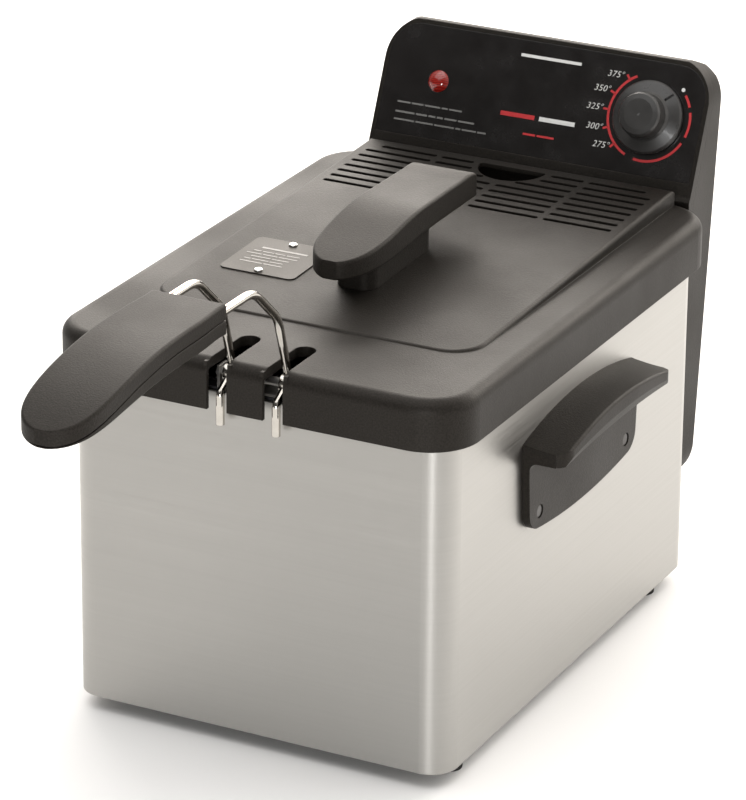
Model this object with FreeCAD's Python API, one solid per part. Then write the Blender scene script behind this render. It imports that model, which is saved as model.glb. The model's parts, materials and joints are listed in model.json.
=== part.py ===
import FreeCAD, Part
import math
import os
from FreeCAD import Vector

# Deep fryer: a brushed steel housing, an enamelled pot that lifts out, a control
# head that hangs on the rear wall with its heating element inside the pot, a wire
# basket with a folding handle, and a vented cover.
#
# Millimetres, Z up. The front, where the basket handle reaches out, faces -Y and
# +X is the right-hand side seen from the front. Everything is designed about the
# middle of the steel housing. save() then shifts it along Y, so that the origin
# lies under the middle of the whole fryer, at the level it stands on.

# ---- driving dimensions -------------------------------------------------------

HOUSING_WIDTH = 230.0
HOUSING_DEPTH = 324.0
HOUSING_CORNER = 15.7
HOUSING_BOTTOM = 9.0
HOUSING_TOP = 206.7
STEEL = 1.0

COVER_WIDTH = 247.2
COVER_DEPTH = 343.0
COVER_MID_Y = -1.4
COVER_CORNER = 29.0
COVER_BOTTOM = 200.4
LEDGE_TOP = 228.4
COVER_WALL = 2.5

POT_WIDTH = 208.0
POT_DEPTH = 300.0
POT_CORNER = 26.0
POT_BOTTOM = 30.0
FLANGE_TOP = 208.5

BASKET_WIDTH = 180.0
BASKET_DEPTH = 248.0
BASKET_MID_Y = -12.0
BASKET_CORNER = 24.0
BASKET_BOTTOM = 75.0
BASKET_TOP = 196.0

PIVOT_Y = -157.0
PIVOT_Z = 217.0
WIRE_RADIUS = 2.4
WIRE_X = 16.8

HEAD_WIDTH = 209.0
HEAD_TILT = math.radians(24.0)
PANEL_FOOT_Y = 173.0
PANEL_FOOT_Z = 230.7
PANEL_HEIGHT = 77.5
HEAD_BOTTOM = 46.0
HEAD_TOP = 301.7
HEAD_CORNER = 24.0
HEAD_LOW_CORNER = 25.0
KNOB_X = 69.5
LAMP_X = -67.0
DIAL_HEIGHT = 42.0

ELEMENT_RADIUS = 3.25
ELEMENT_Z = 52.0
RUNNING_GAP = 0.05

X_AXIS = Vector(1, 0, 0)
Y_AXIS = Vector(0, 1, 0)
Z_AXIS = Vector(0, 0, 1)
SIDES = (-1, 1)


# ---- general shapes -----------------------------------------------------------

def box(x0, x1, y0, y1, z0, z1):
    return Part.makeBox(x1 - x0, y1 - y0, z1 - z0, Vector(x0, y0, z0))


def upright_edges(shape):
    return [e for e in shape.Edges if abs(e.tangentAt(e.FirstParameter).z) > 0.999]


def rounded_box(width, depth, corner, z0, z1, mid_y=0.0, mid_x=0.0):
    """A block with rounded upright corners."""
    half_w = width / 2
    half_d = depth / 2
    block = box(mid_x - half_w, mid_x + half_w, mid_y - half_d, mid_y + half_d, z0, z1)
    return block.makeFillet(corner, upright_edges(block))


def upright_pin(radius, x, y, z0, z1):
    return Part.makeCylinder(radius, z1 - z0, Vector(x, y, z0))


def cross_pin(radius, x0, x1, y, z):
    return Part.makeCylinder(radius, x1 - x0, Vector(x0, y, z), X_AXIS)


def slab_yz(points, half_width):
    """The outline points (y, z) as a solid that reaches half_width to each side."""
    corners = [Vector(-half_width, y, z) for y, z in points]
    face = Part.Face(Part.makePolygon(corners + corners[:1]))
    return face.extrude(Vector(2 * half_width, 0, 0))


def under_curve(curve, y0, y1, z_far, half_width, steps=12):
    """The solid between the curve z = curve(y) and the flat level z_far."""
    ys = [y0 + (y1 - y0) * i / steps for i in range(steps + 1)]
    spline = Part.BSplineCurve()
    spline.interpolate([Vector(-half_width, y, curve(y)) for y in ys])
    first = Vector(-half_width, y0, curve(y0))
    last = Vector(-half_width, y1, curve(y1))
    far = [Vector(-half_width, y1, z_far), Vector(-half_width, y0, z_far)]
    rest = Part.makePolygon([last] + far + [first])
    face = Part.Face(Part.Wire([spline.toShape()] + rest.Edges))
    return face.extrude(Vector(2 * half_width, 0, 0))


def bent_rod(points, radius, bend):
    """A round rod along straight runs that are joined by arcs."""
    edges = []
    start = points[0]
    for before, corner, after in zip(points, points[1:], points[2:]):
        back = (before - corner).normalize()
        ahead = (after - corner).normalize()
        half_angle = back.getAngle(ahead) / 2
        reach = bend / math.tan(half_angle)
        inward = (back + ahead).normalize()
        arc_start = corner + back * reach
        arc_end = corner + ahead * reach
        arc_middle = corner + inward * (bend / math.sin(half_angle) - bend)
        edges.append(Part.makeLine(start, arc_start))
        edges.append(Part.Arc(arc_start, arc_middle, arc_end).toShape())
        start = arc_end
    edges.append(Part.makeLine(start, points[-1]))
    section = Part.Wire(Part.makeCircle(radius, points[0], points[1] - points[0]))
    return Part.Wire(edges).makePipeShell([section], True, False)


def rod_loop(width, depth, corner, radius, z, mid_y):
    """A closed ring of round rod, bent to a rounded rectangle."""
    run_x = width / 2 - corner
    run_y = depth / 2 - corner
    pieces = []
    for side in SIDES:
        x = side * width / 2
        y = mid_y + side * depth / 2
        along_y = Part.makeCylinder(radius, 2 * run_y, Vector(x, mid_y - run_y, z), Y_AXIS)
        along_x = Part.makeCylinder(radius, 2 * run_x, Vector(-run_x, y, z), X_AXIS)
        pieces += [along_y, along_x]
    for number, (sx, sy) in enumerate([(1, 1), (-1, 1), (-1, -1), (1, -1)]):
        elbow = Part.makeTorus(corner, radius, Vector(0, 0, 0), Z_AXIS, 0, 360, 90)
        elbow.rotate(Vector(0, 0, 0), Z_AXIS, 90 * number)
        elbow.translate(Vector(sx * run_x, mid_y + sy * run_y, z))
        pieces.append(elbow)
    return pieces[0].fuse(pieces[1:]).removeSplitter()


def section_ring(y, half_width, z0, z1, corner):
    """A rounded rectangle that stands across the Y axis."""
    w = half_width
    r = min(corner, 0.45 * (z1 - z0), 0.9 * half_width)
    k = r * (1 - math.sqrt(0.5))
    edges = [
        Part.makeLine(Vector(-w + r, y, z0), Vector(w - r, y, z0)),
        Part.Arc(Vector(w - r, y, z0), Vector(w - k, y, z0 + k), Vector(w, y, z0 + r)).toShape(),
        Part.makeLine(Vector(w, y, z0 + r), Vector(w, y, z1 - r)),
        Part.Arc(Vector(w, y, z1 - r), Vector(w - k, y, z1 - k), Vector(w - r, y, z1)).toShape(),
        Part.makeLine(Vector(w - r, y, z1), Vector(-w + r, y, z1)),
        Part.Arc(Vector(-w + r, y, z1), Vector(-w + k, y, z1 - k), Vector(-w, y, z1 - r)).toShape(),
        Part.makeLine(Vector(-w, y, z1 - r), Vector(-w, y, z0 + r)),
        Part.Arc(Vector(-w, y, z0 + r), Vector(-w + k, y, z0 + k), Vector(-w + r, y, z0)).toShape(),
    ]
    return Part.Wire(edges)


def mirrored(shape):
    return shape.mirror(Vector(0, 0, 0), X_AXIS)


# ---- housing ------------------------------------------------------------------

SIDE_HANDLE_MID_Y = -0.2
SIDE_HANDLE_HALF = 71.4
SIDE_HANDLE_TOP = 179.2
SIDE_HANDLE_REACH = 141.2
SIDE_PLATE_THICK = 4.4
SIDE_PLATE_LOW = 112.7
SIDE_SCREW_Z = 125.9
SIDE_SCREW_REACH = 56.8
GUIDE_X = 70.0
GUIDE_BOTTOM = 100.0
GUIDE_TOP = 190.0
FOOT_X = 101.5
FOOT_FRONT_Y = -130.0
FOOT_REAR_Y = 126.0
FOOT_HEIGHT = HOUSING_BOTTOM + STEEL


def side_screw_places():
    """Y positions of the two screws that hold each side handle."""
    return [SIDE_HANDLE_MID_Y + side * SIDE_SCREW_REACH for side in SIDES]


def housing_shell():
    """Folded sheet shell with an inward flange at its top and a lip at its bottom."""
    flange = 8.0
    lip = 3.0
    outer = rounded_box(HOUSING_WIDTH, HOUSING_DEPTH, HOUSING_CORNER, HOUSING_BOTTOM, HOUSING_TOP)
    room = rounded_box(
        HOUSING_WIDTH - 2 * STEEL, HOUSING_DEPTH - 2 * STEEL, HOUSING_CORNER - STEEL,
        HOUSING_BOTTOM + STEEL, HOUSING_TOP - STEEL)
    mouth = rounded_box(
        HOUSING_WIDTH - 2 * flange, HOUSING_DEPTH - 2 * flange, HOUSING_CORNER - flange,
        HOUSING_TOP - 2 * STEEL, HOUSING_TOP + STEEL)
    under = rounded_box(
        HOUSING_WIDTH - 2 * lip, HOUSING_DEPTH - 2 * lip, HOUSING_CORNER - lip,
        HOUSING_BOTTOM - STEEL, HOUSING_BOTTOM + 2 * STEEL)
    shell = outer.cut([room, mouth, under])
    holes = [cross_pin(2.1, -HOUSING_WIDTH, HOUSING_WIDTH, y, SIDE_SCREW_Z) for y in side_screw_places()]
    return shell.cut(holes)


def base_plate():
    """Tray that closes the housing from below, with cooling slots."""
    gap = 0.1
    plate = rounded_box(
        HOUSING_WIDTH - 2 * STEEL - 2 * gap, HOUSING_DEPTH - 2 * STEEL - 2 * gap,
        HOUSING_CORNER - STEEL, FOOT_HEIGHT, FOOT_HEIGHT + 2.0)
    slots = [
        rounded_box(70.0, 5.0, 2.4, FOOT_HEIGHT - 1, FOOT_HEIGHT + 3, mid_y=14.0 * row)
        for row in range(-4, 5)
    ]
    screws = [upright_pin(1.8, x, y, FOOT_HEIGHT - 1, FOOT_HEIGHT + 3) for x, y in foot_places().values()]
    return plate.cut(slots + screws)


def foot_places():
    return {
        "front_left": (-FOOT_X, FOOT_FRONT_Y),
        "front_right": (FOOT_X, FOOT_FRONT_Y),
        "rear_left": (-FOOT_X, FOOT_REAR_Y),
        "rear_right": (FOOT_X, FOOT_REAR_Y),
    }


def foot(x, y):
    """Tapered rubber foot with a sunk hole for its screw."""
    body = Part.makeCone(8.0, 9.0, FOOT_HEIGHT, Vector(x, y, 0))
    sunk = upright_pin(4.0, x, y, -1, 4.2)
    bore = upright_pin(1.8, x, y, 4.0, FOOT_HEIGHT + 1)
    return body.cut([sunk, bore])


def foot_screw(x, y):
    head = upright_pin(3.6, x, y, 2.0, 4.2)
    shank = upright_pin(1.8, x, y, 4.2, FOOT_HEIGHT + 6)
    return head.fuse(shank)


def side_arch(peak, radius, y):
    """Height of a shallow arch along the handle, highest at its middle."""
    return peak - (y - SIDE_HANDLE_MID_Y) ** 2 / (2 * radius)


def side_shelf_section(y):
    """Outline of the shelf at one place: hollow top, blunt lip and coved underside."""
    wall = HOUSING_WIDTH / 2
    reach = SIDE_HANDLE_REACH
    inner = wall + SIDE_PLATE_THICK
    top = side_arch(SIDE_HANDLE_TOP, 271.0, y)
    lip = side_arch(168.5, 480.0, y)
    low = side_arch(162.7, 845.0, y)
    crown = Part.Arc(
        Vector(wall, y, top), Vector(wall + 13.0, y, top - 1.9), Vector(reach - 1.8, y, top - 2.4))
    edge = Part.Arc(
        Vector(reach - 1.8, y, top - 2.4), Vector(reach - 0.5, y, top - 2.9), Vector(reach, y, top - 4.2))
    cove = Part.Arc(
        Vector(inner + 5.0, y, low), Vector(inner + 1.5, y, low - 1.2), Vector(inner, y, low - 4.2))
    return Part.Wire([
        crown.toShape(),
        edge.toShape(),
        Part.makeLine(Vector(reach, y, top - 4.2), Vector(reach, y, lip)),
        Part.makeLine(Vector(reach, y, lip), Vector(reach - 2.2, y, low)),
        Part.makeLine(Vector(reach - 2.2, y, low), Vector(inner + 5.0, y, low)),
        cove.toShape(),
        Part.makeLine(Vector(inner, y, low - 4.2), Vector(wall, y, low - 4.2)),
        Part.makeLine(Vector(wall, y, low - 4.2), Vector(wall, y, top)),
    ])


def side_plate():
    """Back plate of the side handle, with slightly tapered ends and a bowed lower edge."""
    wall = HOUSING_WIDTH / 2
    mid = SIDE_HANDLE_MID_Y
    half = SIDE_HANDLE_HALF
    taper = 2.0
    shoulder_z = 150.0
    hidden_top = 160.0
    corner_z = 118.4
    end = half - taper
    bow = Part.Arc(
        Vector(wall, mid + end, corner_z), Vector(wall, mid, SIDE_PLATE_LOW), Vector(wall, mid - end, corner_z))
    sides = Part.makePolygon([
        Vector(wall, mid - end, corner_z), Vector(wall, mid - half, shoulder_z),
        Vector(wall, mid - half, hidden_top), Vector(wall, mid + half, hidden_top),
        Vector(wall, mid + half, shoulder_z), Vector(wall, mid + end, corner_z)])
    outline = Part.Wire([bow.toShape()] + sides.Edges)
    plate = Part.Face(outline).extrude(Vector(SIDE_PLATE_THICK, 0, 0))
    low_edges = [
        e for e in plate.Edges
        if abs(e.tangentAt(e.FirstParameter).x) > 0.99 and e.CenterOfMass.z < corner_z + 1
    ]
    return plate.makeFillet(12.0, low_edges)


def side_handle():
    """Right-hand carrying handle: a riveted back plate with an arched shelf to grip."""
    wall = HOUSING_WIDTH / 2
    mid = SIDE_HANDLE_MID_Y
    half = SIDE_HANDLE_HALF
    sections = 9
    reach = half + 3.0
    rings = []
    for step in range(sections):
        y = mid - reach + 2 * reach * step / (sections - 1)
        rings.append(side_shelf_section(y))
    shelf = Part.makeLoft(rings, True, False)
    plan_width = 60.0
    plan = rounded_box(
        plan_width, 2 * half, 10.0, 140.0, 190.0, mid_y=mid, mid_x=SIDE_HANDLE_REACH - plan_width / 2)
    near_wall = box(wall, wall + 20.0, mid - half, mid + half, 140.0, 190.0)
    handle = shelf.common(plan.fuse(near_wall)).fuse(side_plate()).removeSplitter()
    for y in side_screw_places():
        sunk = cross_pin(3.9, wall + 2.2, wall + 9, y, SIDE_SCREW_Z)
        bore = cross_pin(2.1, wall - 1, wall + 9, y, SIDE_SCREW_Z)
        handle = handle.cut([sunk, bore])
    return handle


def side_screw(side, y):
    """Rivet with a flat head that lies sunk in the back plate."""
    wall = HOUSING_WIDTH / 2
    head_top = wall + 3.9
    head = cross_pin(3.6, wall + 2.2, head_top, y, SIDE_SCREW_Z)
    head = head.makeFillet(0.6, [e for e in head.Edges if e.BoundBox.XMin > head_top - 0.01])
    shank = cross_pin(2.1, wall - 5, wall + 2.2, y, SIDE_SCREW_Z)
    screw = head.fuse(shank)
    return screw if side > 0 else mirrored(screw)


def control_guide(side):
    """Upright rail on the rear wall that the control head slides down onto."""
    back = HOUSING_DEPTH / 2
    foot_strip = box(-6.0, 6.0, back, back + 1.0, GUIDE_BOTTOM, GUIDE_TOP)
    rail = box(-4.0, 4.0, back + 1.0, back + 5.0, GUIDE_BOTTOM, GUIDE_TOP)
    guide = foot_strip.fuse(rail)
    guide.translate(Vector(side * GUIDE_X, 0, 0))
    return guide


# ---- pot ----------------------------------------------------------------------

def oil_pot():
    """Deep drawn pot whose flange rests on the housing."""
    wall = 1.2
    flange_low = FLANGE_TOP - 1.5
    tub = rounded_box(POT_WIDTH, POT_DEPTH, POT_CORNER, POT_BOTTOM, FLANGE_TOP)
    floor_edges = [e for e in tub.Edges if e.BoundBox.ZMax < POT_BOTTOM + 0.01]
    tub = tub.makeFillet(14.0, floor_edges)
    flange = rounded_box(226.0, 320.0, 13.0, flange_low, FLANGE_TOP)
    room = rounded_box(
        POT_WIDTH - 2 * wall, POT_DEPTH - 2 * wall, POT_CORNER - wall, POT_BOTTOM + wall, FLANGE_TOP + 5)
    low_edges = [e for e in room.Edges if e.BoundBox.ZMax < POT_BOTTOM + wall + 0.01]
    room = room.makeFillet(14.0 - wall, low_edges)
    return tub.fuse(flange).cut(room).removeSplitter()


# ---- basket and its handle ----------------------------------------------------

RIM_ROD = 2.5


def basket_mesh():
    """Open tub that stands for the woven sides and floor of the basket."""
    wall = 1.6
    inset = 2 * RIM_ROD
    width = BASKET_WIDTH - inset
    depth = BASKET_DEPTH - inset
    tub = rounded_box(width, depth, BASKET_CORNER, BASKET_BOTTOM, BASKET_TOP, mid_y=BASKET_MID_Y)
    tub = tub.makeFillet(10.0, [e for e in tub.Edges if e.BoundBox.ZMax < BASKET_BOTTOM + 0.01])
    room = rounded_box(
        width - 2 * wall, depth - 2 * wall, BASKET_CORNER - wall,
        BASKET_BOTTOM + wall, BASKET_TOP + 5, mid_y=BASKET_MID_Y)
    low_edges = [e for e in room.Edges if e.BoundBox.ZMax < BASKET_BOTTOM + wall + 0.01]
    return tub.cut(room.makeFillet(10.0 - wall, low_edges))


def basket_cradle():
    """Stiffening rods that run down the sides and under the floor of the basket."""
    rod = 1.8
    gap = 0.2
    side_x = BASKET_WIDTH / 2 - RIM_ROD + rod + gap
    low_z = BASKET_BOTTOM - rod - gap
    rods = []
    for offset in (-75.0, 75.0):
        y = BASKET_MID_Y + offset
        points = [Vector(-side_x, y, 190.0), Vector(-side_x, y, low_z),
                  Vector(side_x, y, low_z), Vector(side_x, y, 190.0)]
        rods.append(bent_rod(points, rod, 12.0))
    return rods


def basket_bracket():
    """Sheet bracket that carries the handle pivot and hooks over the front flange."""
    sheet = 1.5
    half = 23.0
    seat_low = FLANGE_TOP + 0.4
    seat_top = seat_low + sheet
    drop_y = -146.0
    seat = box(-half, half, PIVOT_Y - 3.0, drop_y, seat_low, seat_top)
    drop = box(-half, half, drop_y - sheet, drop_y, BASKET_TOP, seat_top)
    step = box(-half, half, drop_y - sheet, BASKET_MID_Y - BASKET_DEPTH / 2, BASKET_TOP, BASKET_TOP + sheet)
    bracket = seat.fuse([drop, step])
    for side in SIDES:
        inner = min(side * (half - sheet), side * half)
        cheek = box(inner, inner + sheet, PIVOT_Y - 4.0, PIVOT_Y + 5.0, seat_low, PIVOT_Z + 4.2)
        bracket = bracket.fuse(cheek)
    pivot_hole = cross_pin(RIM_ROD, -half - 1, half + 1, PIVOT_Y, PIVOT_Z)
    rim = rod_loop(BASKET_WIDTH, BASKET_DEPTH, BASKET_CORNER + RIM_ROD, RIM_ROD, BASKET_TOP, BASKET_MID_Y)
    return bracket.cut([pivot_hole, rim]).removeSplitter()


def pivot_rod():
    return cross_pin(RIM_ROD, -24.5, 24.5, PIVOT_Y, PIVOT_Z)


def handle_wire(side):
    """Bent wire: from inside the grip, down to an eye on the pivot, then a front stop."""
    x = side * WIRE_X
    eye_half = 2.4
    arm = bent_rod(
        [Vector(x, -262.0, 281.3), Vector(x, -194.0, 281.3), Vector(x, -167.0, 257.5),
         Vector(x, PIVOT_Y + 1.7, PIVOT_Z + 3.6)],
        WIRE_RADIUS, 24.0)
    stop = bent_rod(
        [Vector(x, PIVOT_Y - 2.9, PIVOT_Z - 2.7), Vector(x, -168.8, 209.3), Vector(x, -168.8, 191.5)],
        WIRE_RADIUS, 3.6)
    eye = cross_pin(5.2, x - eye_half, x + eye_half, PIVOT_Y, PIVOT_Z)
    bore = cross_pin(RIM_ROD + RUNNING_GAP, x - 5, x + 5, PIVOT_Y, PIVOT_Z)
    return eye.fuse([arm, stop]).cut(bore).removeSplitter()


GRIP_INNER_Y = -232.0
GRIP_LENGTH = 146.5
GRIP_WIDEST = 54.0
GRIP_HALF_WIDTH = 22.9
GRIP_EDGE = 1.7
SEAM_DEPTH = 8.2


def grip_top(y):
    """Height of the grip's upper face, which droops towards its free end."""
    beyond = max(0.0, -272.0 - y)
    return 288.5 - 0.00172 * beyond ** 2


def grip_bottom(y):
    beyond = max(0.0, -278.0 - y)
    return 271.4 - 0.00118 * beyond ** 2


def grip_half_width(y):
    """Half the grip's width: it swells, then closes in a blunt round end."""
    past = GRIP_INNER_Y - GRIP_WIDEST - y
    if past < 0:
        return GRIP_HALF_WIDTH - 0.8 * (past / GRIP_WIDEST) ** 2
    share = past / (GRIP_LENGTH - GRIP_WIDEST)
    return GRIP_HALF_WIDTH * math.sqrt(max(0.0, 1 - share ** 7))


def grip_body():
    places = [0.0, 0.14, 0.28, 0.42, 0.56, 0.68, 0.78, 0.86, 0.915, 0.95, 0.975, 0.989, 0.9975]
    rings = []
    for share in places:
        y = GRIP_INNER_Y - share * GRIP_LENGTH
        rings.append(section_ring(y, grip_half_width(y), grip_bottom(y), grip_top(y), GRIP_EDGE))
    return Part.makeLoft(rings, True, False)


def grip_halves(body, wires):
    """The upper and lower grip shells, parted by a seam with a thin shadow groove."""
    y0 = GRIP_INNER_Y - GRIP_LENGTH - 5
    y1 = GRIP_INNER_Y + 5
    above = under_curve(lambda y: grip_top(y) - SEAM_DEPTH, y0, y1, 320.0, 40.0)
    groove_roof = under_curve(lambda y: grip_top(y) - SEAM_DEPTH - 0.8, y0, y1, 320.0, 40.0)
    core_points = [Vector(side * (grip_half_width(y) - 1.2), y, 240.0) for side, y in core_outline()]
    core = Part.Face(Part.makePolygon(core_points + core_points[:1])).extrude(Vector(0, 0, 60.0))
    upper = body.common(above)
    lower = body.cut(above)
    groove = groove_roof.cut(core)
    return upper.cut(wires), lower.cut(groove).cut(wires)


def core_outline():
    """Sides and Y places of the outline that the seam groove leaves standing."""
    last = GRIP_LENGTH - 1.2
    steps = [1.2, 30.0, 54.0, 75.0, 98.0, 116.0, 130.0, 139.0, last - 0.6]
    down = [(-1, GRIP_INNER_Y - s) for s in steps]
    up = [(1, GRIP_INNER_Y - s) for s in reversed(steps)]
    return down + up


GRIP_SCREW_Y = (-245.0, -330.0)


def grip_screw(y):
    low = grip_bottom(y)
    head = upright_pin(3.4, 0, y, low + 0.8, low + 2.6)
    shank = upright_pin(1.5, 0, y, low + 2.6, grip_top(y) - 2.5)
    return head.fuse(shank)


def grip_screw_hole(y):
    low = grip_bottom(y)
    sunk = upright_pin(3.4, 0, y, low - 3, low + 2.6)
    bore = upright_pin(1.5, 0, y, low, grip_top(y) - 2.5)
    return sunk.fuse(bore)


# ---- cover --------------------------------------------------------------------

SLOT_WIDTH = 12.0
SLOT_END_Y = -130.5
RAISED_HALF = 98.5
RAISED_FRONT_Y = -104.0
RAISED_REAR_Y = 164.0
RAISED_FRONT_RISE = 0.9
RAISED_REAR_RISE = 9.0
VENT_ROWS = 8
VENT_FIRST_Y = 90.6
VENT_PITCH = 8.94
VENT_WIDTH = 3.4
VENT_REACH = 91.5
VENT_BRIDGE = 3.4
VENT_BRIDGE_X = 47.4
VENT_PORT_GAP = 4.2
VENT_LAST_ROW_LOSS = 6.5
PORT_FLAT_Y = 155.4
PORT_RADIUS = 21.0
COVER_HANDLE_SCREW_Y = (-30.0, 8.0)
COVER_HANDLE_REAR = 64.5
COVER_HANDLE_FRONT = -78.5
COVER_HANDLE_TOP = 267.3
COVER_HANDLE_BOTTOM = 251.8
COVER_HANDLE_HALF_WIDTH = 20.6
COVER_HANDLE_WIDEST_Y = -15.0
COVER_HANDLE_EDGE = 1.7


def slot_cutter(side, extra, z0, z1):
    """The open-ended slot that one handle wire passes through."""
    half = SLOT_WIDTH / 2 + extra
    x = side * WIRE_X
    end_y = SLOT_END_Y + extra
    run = box(x - half, x + half, -200.0, end_y - half, z0, z1)
    return run.fuse(upright_pin(half, x, end_y - half, z0, z1))


def cover_panel_height(y):
    """Height of the raised panel's top face, which climbs evenly to the rear."""
    share = (y - RAISED_FRONT_Y) / (RAISED_REAR_Y - RAISED_FRONT_Y)
    return LEDGE_TOP + RAISED_FRONT_RISE + share * (RAISED_REAR_RISE - RAISED_FRONT_RISE)


def below_slope(drop, y0, y1, z_low):
    """Everything under the raised panel's top face, lowered by a drop."""
    return slab_yz(
        [(y0, cover_panel_height(y0) - drop), (y1, cover_panel_height(y1) - drop), (y1, z_low), (y0, z_low)],
        130.0)


def raised_panel():
    """Middle of the cover: almost flush at the front and 9 mm proud at the rear."""
    corner = 20.0
    edge_radius = 2.4
    low = LEDGE_TOP - 2.3
    block = box(-RAISED_HALF, RAISED_HALF, RAISED_FRONT_Y, RAISED_REAR_Y, low, 260.0)
    front = [e for e in upright_edges(block) if e.CenterOfMass.y < 0]
    block = block.makeFillet(corner, front)
    block = block.common(below_slope(0.0, -140.0, 200.0, 200.0))
    return block.makeFillet(edge_radius, [e for e in block.Edges if e.BoundBox.ZMin > LEDGE_TOP])


def steam_room():
    """Hollow under the raised panel, less the bosses for the handle screws."""
    inset = COVER_WALL + 0.5
    y0 = RAISED_FRONT_Y + inset
    y1 = RAISED_REAR_Y - inset
    room = box(-RAISED_HALF + inset, RAISED_HALF - inset, y0, y1, LEDGE_TOP - COVER_WALL - 1.0, 260.0)
    front = [e for e in upright_edges(room) if e.CenterOfMass.y < 0]
    room = room.makeFillet(17.0, front).common(below_slope(COVER_WALL, -140.0, 200.0, 200.0))
    bosses = [upright_pin(7.0, 0, y, 200.0, 260.0) for y in COVER_HANDLE_SCREW_Y]
    return room.cut(bosses)


def vent_spans(row):
    """Stretches of one vent row along X: bridges and the half-moon port break it."""
    rib = VENT_BRIDGE / 2
    is_last = row == VENT_ROWS - 1
    reach = VENT_REACH - (VENT_LAST_ROW_LOSS if is_last else 0.0)
    inner = rib
    y = VENT_FIRST_Y + row * VENT_PITCH
    if y > PORT_FLAT_Y - PORT_RADIUS:
        across = math.sqrt(max(0.0, PORT_RADIUS ** 2 - (PORT_FLAT_Y - y) ** 2))
        inner = across + VENT_PORT_GAP
    spans = [(VENT_BRIDGE_X + rib, reach), (inner, VENT_BRIDGE_X - rib)]
    return spans + [(-b, -a) for a, b in spans]


def vents():
    cutters = []
    for row in range(VENT_ROWS):
        y = VENT_FIRST_Y + row * VENT_PITCH
        for x0, x1 in vent_spans(row):
            slot = rounded_box(x1 - x0, VENT_WIDTH, VENT_WIDTH * 0.45, 215.0, 250.0,
                               mid_y=y, mid_x=(x0 + x1) / 2)
            cutters.append(slot)
    return cutters


def port(extra, z0, z1):
    """Half-moon steam port near the rear of the cover."""
    radius = PORT_RADIUS + extra
    disc = upright_pin(radius, 0, PORT_FLAT_Y, z0, z1)
    half = disc.common(box(-radius, radius, PORT_FLAT_Y - radius, PORT_FLAT_Y + extra, z0, z1))
    corners = [e for e in upright_edges(half) if e.CenterOfMass.y > PORT_FLAT_Y - 1]
    return half.makeFillet(2.0, corners)


def cover_shell():
    """Moulded cover with a skirt, wire slots, steam vents and a half-moon port."""
    outer = rounded_box(
        COVER_WIDTH, COVER_DEPTH, COVER_CORNER, COVER_BOTTOM, LEDGE_TOP, mid_y=COVER_MID_Y)
    outer = outer.makeFillet(7.5, [e for e in outer.Edges if e.BoundBox.ZMin > LEDGE_TOP - 0.01])
    room = rounded_box(
        COVER_WIDTH - 2 * COVER_WALL, COVER_DEPTH - 2 * COVER_WALL, COVER_CORNER - COVER_WALL,
        COVER_BOTTOM - 5, LEDGE_TOP - COVER_WALL, mid_y=COVER_MID_Y)
    room = room.makeFillet(5.5, [e for e in room.Edges if e.BoundBox.ZMin > LEDGE_TOP - COVER_WALL - 0.01])
    shell = outer.fuse(raised_panel()).cut([room, steam_room()])
    pads = [
        box(x - 4, x + 4, y - 12, y + 12, FLANGE_TOP + 0.4, LEDGE_TOP - 1)
        for x in (-108.0, 108.0) for y in (-95.0, 85.0)
    ]
    liners = [slot_cutter(side, 2.0, 222.6, LEDGE_TOP - 1) for side in SIDES]
    inside = rounded_box(
        COVER_WIDTH - 2, COVER_DEPTH - 2, COVER_CORNER - 1, COVER_BOTTOM, LEDGE_TOP - 1, mid_y=COVER_MID_Y)
    shell = shell.fuse(pads + [liner.common(inside) for liner in liners])
    slots = [slot_cutter(side, 0.0, 190.0, 240.0) for side in SIDES]
    bridge_way = box(-86.0, 86.0, 150.0, 200.0, 190.0, 221.0)
    shell = shell.cut(slots + [bridge_way, port(0.0, 210.0, 250.0)] + vents())
    posts = [upright_pin(2.2, 0, y, 215.0, 240.0) for y in COVER_HANDLE_SCREW_Y]
    return shell.cut(posts).removeSplitter()


def cover_handle_top(y):
    """Level over the post, then falling to the front and turned down at the rear end."""
    bend_y = -8.0
    bend_length = 8.0
    fall = 0.17
    ahead = max(0.0, bend_y - y)
    tail = max(0.0, y - (COVER_HANDLE_REAR - 6.5))
    drop = fall * (math.hypot(ahead, bend_length) - bend_length)
    return COVER_HANDLE_TOP - drop - 0.045 * tail ** 2


def cover_handle_bottom(y):
    fall = 0.074
    return COVER_HANDLE_BOTTOM - fall * max(0.0, -y)


def cover_handle_half_width(y):
    """Nearly straight sides behind the widest place, and a blunt round nose in front."""
    middle = COVER_HANDLE_WIDEST_Y
    if y > middle:
        return COVER_HANDLE_HALF_WIDTH - (y - middle) / (COVER_HANDLE_REAR - middle)
    share = (middle - y) / (middle - COVER_HANDLE_FRONT)
    return COVER_HANDLE_HALF_WIDTH * math.sqrt(max(0.0, 1 - share ** 4))


def cover_handle():
    """Tongue-shaped lift handle on a short post, open to the fingers at the rear."""
    rings = []
    length = COVER_HANDLE_REAR - COVER_HANDLE_FRONT
    for share in (0.0, 0.03, 0.09, 0.2, 0.35, 0.5, 0.62, 0.73, 0.83, 0.9, 0.95, 0.98, 0.994):
        y = COVER_HANDLE_REAR - share * length
        rings.append(section_ring(
            y, cover_handle_half_width(y), cover_handle_bottom(y), cover_handle_top(y), COVER_HANDLE_EDGE))
    tongue = Part.makeLoft(rings, True, False)
    post_width = 24.0
    post_length = 76.0
    post_mid_y = -12.0
    post = rounded_box(
        post_width, post_length, 8.0, LEDGE_TOP, COVER_HANDLE_BOTTOM + 2.0, mid_y=post_mid_y)
    post = post.cut(below_slope(0.0, -100.0, 100.0, LEDGE_TOP - 5.0))
    handle = tongue.fuse(post)
    bores = [upright_pin(1.6, 0, y, 225.0, 248.0) for y in COVER_HANDLE_SCREW_Y]
    return handle.cut(bores).removeSplitter()


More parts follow.
